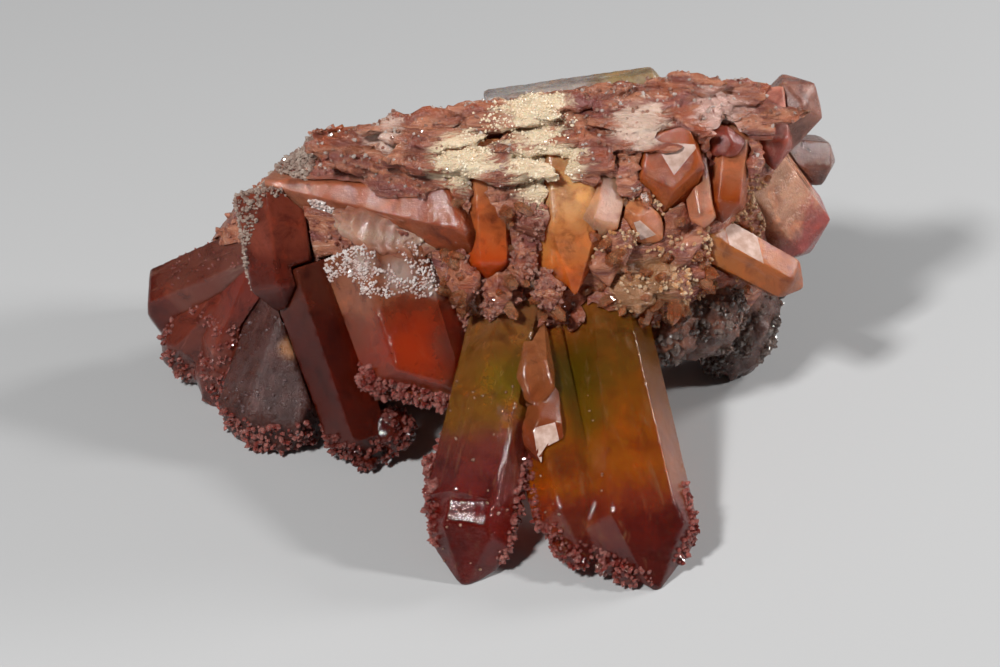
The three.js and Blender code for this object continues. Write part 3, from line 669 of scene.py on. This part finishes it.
for k, (name, root, tip, stain, clear, slot, facet_at) in enumerate(small_ones):
    piece = worn_stone(name, name + "_crystal", facet=0.00045, wear=0.4, swell=0.00002, seed=71 + k)
    piece.data.materials.clear()
    look = stained_quartz(name + "_quartz", root, tip, stain, clear=clear, gloss=0.07, etch=0.3, murk=(0.96, 0.5, 0.2))
    piece.data.materials.append(look)
    # The kite and square crystals each get a pale painted highlight on one flat face.
    if name == "kite":
        frost_and_paint_highlight(piece, facet_at, frost_and_painted_highlight, [(270, 0.0012), (35, 0.0015), (145, 0.0015)])
    elif name == "square":
        frost_and_paint_highlight(piece, facet_at, frost_and_painted_highlight, [(20, 0.0013), (110, 0.0014), (200, 0.0013), (290, 0.0014)])

# Crystals of the right end: a striated tan one with a magenta side, a clear amber one with a painted
# highlight on one facet, a pale pink one above, a small clear one behind, and a dark three-sided face between.
striped = [(0.0, (0.448, 0.234, 0.148)), (0.55, (0.463, 0.234, 0.148)), (0.74, (0.269, 0.0605, 0.0517)), (0.95, (0.224, 0.0378, 0.0369))]
amber_run = [(0.0, (0.792, 0.324, 0.111)), (0.4, (0.599, 0.178, 0.0331)), (0.85, (0.457, 0.13, 0.0331))]
pale_pink = [(0.0, (0.243, 0.0992, 0.0674)), (0.9, (0.255, 0.109, 0.079))]
grey_clear = [(0.0, (0.433, 0.171, 0.116)), (0.9, (0.315, 0.135, 0.0966))]
deep_red = [(0.0, (0.591, 0.223, 0.161)), (0.6, (0.319, 0.0668, 0.0401)), (0.9, (0.272, 0.0446, 0.0282))]
right_end = [
    ("striated", "striated_crystal", point(28, 14, 35), point(39.6, 15, 18), striped, 0.1, 0.8, 0.2, "pale_quartz"),
    ("amber", "amber_crystal", point(23, 6, 27), point(37.5, 5, 20), amber_run, 0.5, 0.1, 0.08, "amber_quartz"),
    ("upper_pink", "upper_pink_crystal", point(31, 17, 32), point(39, 19, 41), pale_pink, 0.2, 0.2, 0.2, "pale_quartz"),
    ("right_clear", "right_clear_crystal", point(30, 19, 30), point(43, 23, 27), grey_clear, 0.6, 0.1, 0.08, "pale_quartz"),
    ("dark_triangle", "dark_triangle_crystal", point(33, 16, 39), point(34, 11, 33), deep_red, 0.3, 0.1, 0.1, "red_quartz"),
]
for k, (name, node, root, tip, stain, clear, ribs, gloss, slot) in enumerate(right_end):
    piece = worn_stone(name, node, facet=0.0006, wear=0.45, swell=0.00003, seed=81 + k)
    piece.data.materials.clear()
    look = stained_quartz(name + "_quartz", root, tip, stain, clear=clear, gloss=gloss, etch=0.3, ribs=ribs)
    piece.data.materials.append(look)
    # The amber crystal's bright facet is a pale painted highlight.
    if name == "amber":
        frost_and_paint_highlight(piece, point(30.4, 4.4, 25.9), frost_and_painted_highlight, [(155, 0.0019), (335, 0.0022)])

# White back crystal and back point: a frosted whitish prism with a yellow-orange end behind the top
# edge, and a dark red point beside it.
white_back = worn_stone("white_back", "white_back_crystal", facet=0.0006, swell=0.0001, seed=91)
white_back.data.materials.clear()
white_back.data.materials.append(
    stained_quartz(
        "whitish_quartz",
        point(0, 14, 39),
        point(20, 16, 42),
        [(0.0, (0.269, 0.235, 0.219)), (0.55, (0.303, 0.25, 0.219)), (0.72, (0.269, 0.184, 0.0858)), (0.95, (0.256, 0.176, 0.094))],
        clear=0.1,
        gloss=0.25,
        veil=0.5,
        veil_tint=(0.683, 0.693, 0.654),
    )
)
back_names = ["back_point", "back_left", "back_middle", "back_right"]
for k, name in enumerate(back_names):
    piece = worn_stone(name, name + "_crystal", facet=0.0007, swell=0.00008, seed=95 + k)
    piece.data.materials.clear()
    low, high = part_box(name + "_crystal")
    root = Vector((low.x / 2 + high.x / 2, low.y, high.z))
    tip = Vector((low.x / 2 + high.x / 2, high.y, low.z))
    look = stained_quartz(
        name + "_quartz",
        root,
        tip,
        [(0.0, (0.24, 0.09, 0.05)), (0.4, (0.2, 0.05, 0.015)), (0.9, (0.11, 0.02, 0.01))],
        clear=0.3,
    )
    piece.data.materials.append(look)

# Smoky mass: a grey-brown lump of tightly grown small crystals that carries the right end.


def rough_stone(name, node, facet, swell, size, seed, ledges=0.0):
    """Broken quartz: flat splinter faces that each tip their own way, long and low above the height of ledges."""
    stone = bmesh.new()
    stone.from_mesh(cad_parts[node].data)
    bmesh.ops.remove_doubles(stone, verts=stone.verts, dist=2e-6)
    for _ in range(9):
        wide = [e for e in stone.edges if e.calc_length() > facet * 1.5]
        if not wide:
            break
        bmesh.ops.subdivide_edges(stone, edges=wide, cuts=1)
        bmesh.ops.triangulate(stone, faces=[f for f in stone.faces if len(f.verts) > 3])
    corners = [e for e in stone.edges if e.is_manifold and e.calc_face_angle() > 0.2]
    ridge = list({v for e in corners for v in e.verts if v.co.z > ledges or ledges == 0})
    bmesh.ops.smooth_vert(stone, verts=ridge, factor=0.5, use_axis_x=True, use_axis_y=True, use_axis_z=True)
    stone.normal_update()
    for v in stone.verts:
        layered = v.co.z + 0.002 * noise.noise(v.co * 200) > ledges > 0
        rise = 0.0
        for k, share in enumerate((1.0, 0.6, 0.45)):
            if layered:
                here = v.co * Vector((0.5, 0.9, 1.7)) / (size * 0.5**k) + Vector((seed, 0.4 * k, 0))
                rise += share * (0.55 - 2.2 * abs(noise.noise(here + 0.6 * noise.noise_vector(here * 0.7))))
            elif k < 2:
                here = v.co / (size * 0.5**k) + Vector((seed, 0, 0))
                heart = noise.voronoi(here)[1][0]
                tilt = noise.noise_vector(heart * 3.7)
                rise += share * (1.6 * tilt.dot(here - heart) + 0.7 * noise.noise(heart * 5.3))
        strength = swell if layered or ledges == 0 else swell * 0.2
        v.co += v.normal * strength * max(-1.3, min(1.3, rise))
    mesh = bpy.data.meshes.new(name)
    stone.to_mesh(mesh)
    stone.free()
    mesh.validate()
    mesh.shade_smooth()
    mesh.set_sharp_from_angle(angle=0.5)
    piece = bpy.data.objects.new(name, mesh)
    bpy.context.scene.collection.objects.link(piece)
    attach(piece, "root")
    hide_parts(node)
    return piece


smoky = rough_stone("smoky_druse", "smoky_mass", 0.0004, 0.0005, 0.002, 5)
smoky.data.materials.clear()
smoky_quartz = stained_quartz(
    "smoky_grey_quartz",
    point(22, 4, 22),
    point(30, 14, 2),
    [(0.0, (0.224, 0.0825, 0.045)), (0.4, (0.14, 0.0605, 0.042)), (0.9, (0.098, 0.0495, 0.04))],
    blots=[(point(21.5, 2, 19), 0.003, (0.28, 0.088, 0.04))],
    clear=0.15,
    gloss=0.2,
    etch=0.6,
    veil=0.5,
    veil_tint=(0.42, 0.242, 0.2),
    veil_size=0.0016,
)
smoky.data.materials.append(smoky_quartz)
smoky_grains = tiny_quartz("smoky_grains", (0.75, 0.62, 0.55), (0.3, 0.2, 0.17), clear=0.85, gloss=0.03)
spots = open_spots(smoky, 1300, 170, near=lambda at, out: noise.noise(at * 300) > -0.05, clear_of=0.001)
second_growth("smoky_growth", spots, 0.0008, smoky_grains, 171)

# Matrix: massive red-brown quartz behind all the crystals, broken along the top into flaky ledges
# with pale cream patches, and purple-brown with tiny crystals lower on the wall.
matrix = rough_stone("matrix_rock", "matrix", 0.00055, 0.0006, 0.0028, 11, ledges=0.0335)


def broken_quartz(name, patches, base, dark, pale, grain):
    """Massive broken quartz: layered colours, with patches of (centre, radius, colour) of crust or clay."""
    material = bpy.data.materials.new(name)
    material.use_nodes = True
    tree = material.node_tree
    tree.nodes.clear()
    place = add(tree, "TexCoord").outputs["Object"]
    flat = add(tree, "Mapping", {"Vector": place, "Scale": (0.35, 1.0, 2.2), "Rotation": (0.0, 0.12, 0.0)}).outputs[0]
    layers = speckle(tree, flat, 0.0035, 6, 0.68, 1.4)
    clouds = speckle(tree, place, 0.008, 5, 0.6, 0.5)
    fine = speckle(tree, place, 0.0009, 5, 0.7)
    colour = blended(tree, stepped(tree, layers, 0.4, 0.62), (*dark, 1), (*base, 1))
    colour = blended(tree, stepped(tree, clouds, 0.48, 0.66, 0.85), colour, (0.34, 0.07, 0.022, 1))
    violet = speckle(tree, flat, 0.005, 4, 0.6, 0.8)
    colour = blended(tree, stepped(tree, violet, 0.52, 0.66, 0.75), colour, (0.2, 0.05, 0.045, 1))
    colour = blended(tree, stepped(tree, layers, 0.6, 0.72, 0.85), colour, (*pale, 1))
    for centre, radius, tint in patches:
        far = add(tree, "VectorMath", {0: place, 1: centre}, operation="DISTANCE").outputs["Value"]
        ragged = add(tree, "Math", {0: layers, 1: 2.2 * radius, 2: far}, operation="MULTIPLY_ADD").outputs[0]
        cover = stepped(tree, ragged, 2.1 * radius, 1.7 * radius, 0.95)
        colour = blended(tree, cover, colour, (*tint, 1))
    colour = blended(tree, stepped(tree, fine, 0.62, 0.72, 0.5), colour, (0.05, 0.012, 0.008, 1))
    shine = stepped(tree, layers, 0.35, 0.7)
    gloss = add(tree, "MapRange", {"Value": shine, "To Min": 0.36, "To Max": 0.08}).outputs[0]
    relief = add(tree, "Bump", {"Strength": 0.7, "Distance": 0.0004, "Height": fine})
    ledges = add(tree, "Bump", {"Strength": 0.8, "Distance": 0.0009, "Height": layers, "Normal": relief.outputs[0]})
    shader = add(
        tree,
        "BsdfPrincipled",
        {
            "Base Color": colour,
            "Roughness": gloss,
            "IOR": 1.544,
            "Transmission Weight": 0.15,
            "Subsurface Weight": 0.2,
            "Subsurface Radius": (1.0, 0.4, 0.2),
            "Subsurface Scale": grain,
            "Normal": ledges.outputs[0],
        },
    )
    add(tree, "OutputMaterial", {"Surface": shader.outputs[0]})
    return material


cream = (0.78, 0.6, 0.4)
clay = (0.38, 0.2, 0.1)
matrix.data.materials.clear()
matrix_quartz = broken_quartz(
    "matrix_brown_quartz",
    [
        (point(-4, 4.4, 39), 0.0042, cream),
        (point(4, 9, 42.5), 0.005, cream),
        (point(6, 3, 37.8), 0.0048, cream),
        (point(-13, 8, 40), 0.003, (0.62, 0.42, 0.34)),
        (point(17, 9, 41), 0.004, (0.66, 0.46, 0.36)),
        (point(27, 11, 41), 0.004, (0.6, 0.36, 0.3)),
        (point(-28, 14, 29), 0.004, (0.6, 0.5, 0.42)),
        (point(-4, -4.6, 20.5), 0.003, clay),
        (point(18, -1, 24), 0.005, (0.34, 0.16, 0.07)),
    ],
    base=(0.46, 0.18, 0.1),
    dark=(0.2, 0.05, 0.03),
    pale=(0.74, 0.5, 0.4),
    grain=0.002,
)
matrix.data.materials.append(matrix_quartz)

# Second growth on the matrix: golden on the right of the wall, purple-brown on the left of it, and
# red-brown round the back and below, all of it small quartz crystals grown side by side.
golden_grains = tiny_quartz("golden_grains", (0.92, 0.72, 0.5), (0.7, 0.32, 0.12), clear=0.55, gloss=0.03)
purple_grains = tiny_quartz("purple_grains", (0.82, 0.5, 0.4), (0.42, 0.12, 0.08), clear=0.68, gloss=0.03)
brown_grains = tiny_quartz("brown_grains", (0.66, 0.3, 0.2), (0.3, 0.09, 0.05), clear=0.4, gloss=0.04)
divide = point(11, 0, 0).x
spots = open_spots(
    matrix,
    4200,
    180,
    near=lambda at, out: at.y < 0.011 and 0.015 < at.z < 0.0345 and noise.noise(at * 280) > -0.15,
    clear_of=0.001,
)
golden = [spot for spot in spots if spot[0].x > divide]
purple = [spot for spot in spots if spot[0].x <= divide]
second_growth("wall_growth_golden", golden, 0.0006, golden_grains, 181, tall=1.0)
second_growth("wall_growth_purple", purple, 0.0006, purple_grains, 182, tall=1.0)
clear_brown = tiny_quartz("clear_brown", (0.92, 0.5, 0.28), (0.55, 0.16, 0.05), clear=0.85, gloss=0.03)
spots = open_spots(
    matrix,
    260,
    185,
    near=lambda at, out: at.y < 0.011 and 0.017 < at.z < 0.0345 and at.x > -0.006,
    clear_of=0.002,
)
second_growth("wall_crystals", spots, 0.0017, clear_brown, 186, tilt=0.8, tall=1.6)
spots = open_spots(matrix, 2600, 183, near=lambda at, out: at.y > 0.013 and at.z < 0.04, clear_of=0.001)
second_growth("back_growth", spots, 0.0008, brown_grains, 184, tall=0.7)

# Crusts of the broken band: fine quartz sugar, rose and white, along the flaky ledges, and a soft pale
# cream crust that fills the hollows between them.
cream_crust = tiny_quartz("cream_crust", (0.9, 0.8, 0.62), (0.74, 0.55, 0.36), clear=0.15, gloss=0.1)
band = open_spots(matrix, 3600, 190, near=lambda at, out: at.z > 0.034 and at.y < 0.0165 and out.z > 0.1, clear_of=0.0006)
cream_places = [
    (point(-3.4, 4.4, 39.4), 0.003),
    (point(5, 8.6, 42), 0.0042),
    (point(5.6, 2.6, 38), 0.0042),
    (point(0, 8, 41.5), 0.0025),
]
# The kite's painted highlight face is kept clear of the band's rose and white sugar.
kept_open = cream_places + [(point(21.4, 5.5, 39.4), 0.0055)]
others = [spot for spot in band if all((spot[0] - centre).length > radius for centre, radius in kept_open)]
rose_sugar = tiny_quartz("rose_sugar", (0.8, 0.56, 0.46), (0.46, 0.2, 0.13), clear=0.7, gloss=0.05)
second_growth("band_rose", others[2::6], 0.0005, rose_sugar, 193, tilt=0.7, tall=0.8)
white_sugar = tiny_quartz("white_sugar", (0.9, 0.84, 0.78), (0.66, 0.5, 0.42), clear=0.6, gloss=0.05)
second_growth("band_white", others[3::9], 0.0005, white_sugar, 197, tilt=0.7, tall=0.8)
fill = open_spots(matrix, 9000, 198, near=lambda at, out: at.z > 0.034 and at.y < 0.0165 and out.z > 0.0, clear_of=0.0004)
sugar = [
    spot
    for spot in fill
    if any((spot[0] - centre).length + 0.0012 * noise.noise(spot[0] * 700) < radius for centre, radius in cream_places)
]
second_growth("band_cream", sugar, 0.00036, cream_crust, 194, tilt=0.8, tall=0.4, sunk=0.4)
crust = open_spots(matrix, 2500, 195, path=left_rim, reach=0.0032, clear_of=0.0005)
second_growth("left_crust", crust[:900], 0.0006, grey_crust, 196)

# Studio floor, soft lights and the camera at the photograph's angle.
floor_mesh = bpy.data.meshes.new("studio_floor")
ground = bmesh.new()
bmesh.ops.create_grid(ground, x_segments=1, y_segments=1, size=2.0)
ground.to_mesh(floor_mesh)
ground.free()
floor = bpy.data.objects.new("studio_floor", floor_mesh)
bpy.context.scene.collection.objects.link(floor)
paper = bpy.data.materials.new("pale_paper")
paper.use_nodes = True
paper.node_tree.nodes["Principled BSDF"].inputs["Base Color"].default_value = (0.4, 0.4, 0.4, 1)
paper.node_tree.nodes["Principled BSDF"].inputs["Roughness"].default_value = 0.7
floor_mesh.materials.append(paper)


def soft_light(name, place, width, power, tint=(1, 1, 1)):
    """A square soft box that faces the cluster."""
    lamp = bpy.data.lights.new(name, "AREA")
    lamp.size = width
    lamp.energy = power
    lamp.color = tint
    box = bpy.data.objects.new(name, lamp)
    box.location = place
    box.rotation_euler = (Vector((0, 0, 0.02)) - Vector(place)).to_track_quat("-Z", "Y").to_euler()
    bpy.context.scene.collection.objects.link(box)


soft_light("key", (-0.25, -0.295, 0.45), 0.07, 3.9)
soft_light("fill", (0.54, -0.04, 0.31), 0.06, 2.6)
soft_light("back", (0.47, 0.27, 0.29), 0.14, 1.8)
world = bpy.data.worlds.new("studio")
world.use_nodes = True
world.node_tree.nodes["Background"].inputs["Color"].default_value = (0.8, 0.82, 0.85, 1)
world.node_tree.nodes["Background"].inputs["Strength"].default_value = 0.1
bpy.context.scene.world = world

lens = bpy.data.cameras.new("camera")
lens.lens = 108
lens.sensor_width = 36
lens.clip_start = 0.01
camera = bpy.data.objects.new("camera", lens)
aim = point(0.5, -4, 19.5)
camera.location = aim + 0.36 * Vector((0, -math.cos(math.radians(35)), math.sin(math.radians(35))))
camera.rotation_euler = (aim - camera.location).to_track_quat("-Z", "Y").to_euler()
bpy.context.scene.collection.objects.link(camera)
bpy.context.scene.camera = camera
bpy.context.scene.view_settings.view_transform = "Standard"
